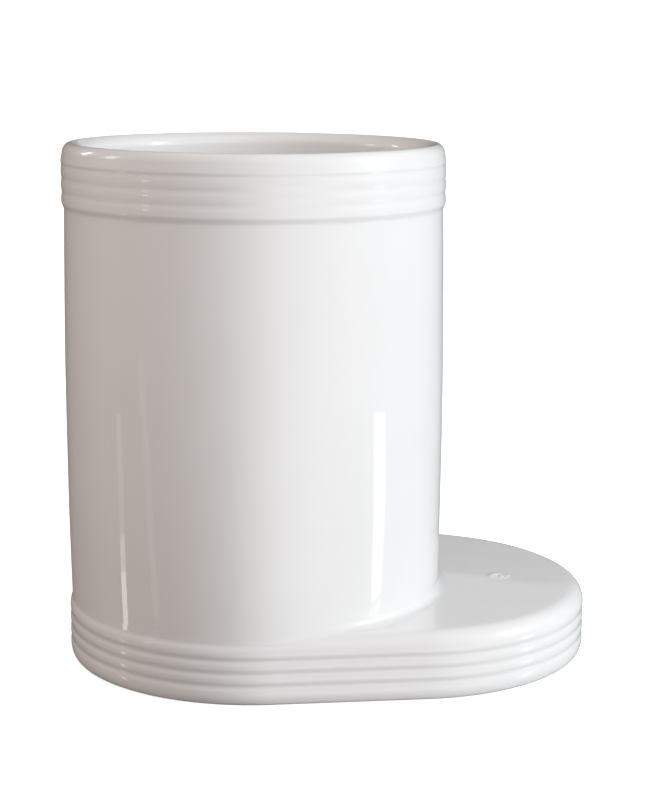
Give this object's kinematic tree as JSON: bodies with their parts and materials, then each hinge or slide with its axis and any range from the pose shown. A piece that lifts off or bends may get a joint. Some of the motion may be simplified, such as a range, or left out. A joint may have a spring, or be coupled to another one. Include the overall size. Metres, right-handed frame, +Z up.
{
  "type": "glazed ceramic holder",
  "caption": "Round glazed cup with a beaded rim band, joined to one end of an oblong beaded base that leaves a flat side ledge.",
  "frame": {"origin": "centre of the base's outline, on the surface the base stands on", "axes": "+Z up, along the cup's axis; +X along the oblong base, from the cup towards the free ledge; +Y across the base"},
  "size_m": [0.1676, 0.12, 0.1632],
  "materials": {
    "white_glaze": "clear gloss glaze over a white body",
    "bare_clay": "unglazed, fine matt"
  },
  "bodies": {
    "root": {"cup_wall": "white_glaze", "base_shell": "white_glaze", "outer_slip_fillet": "white_glaze", "inner_slip_fillet": "white_glaze", "vent_stopper": "white_glaze", "bottom_slab": "bare_clay", "slab_slip_seam": "bare_clay"}
  },
  "joints": []
}
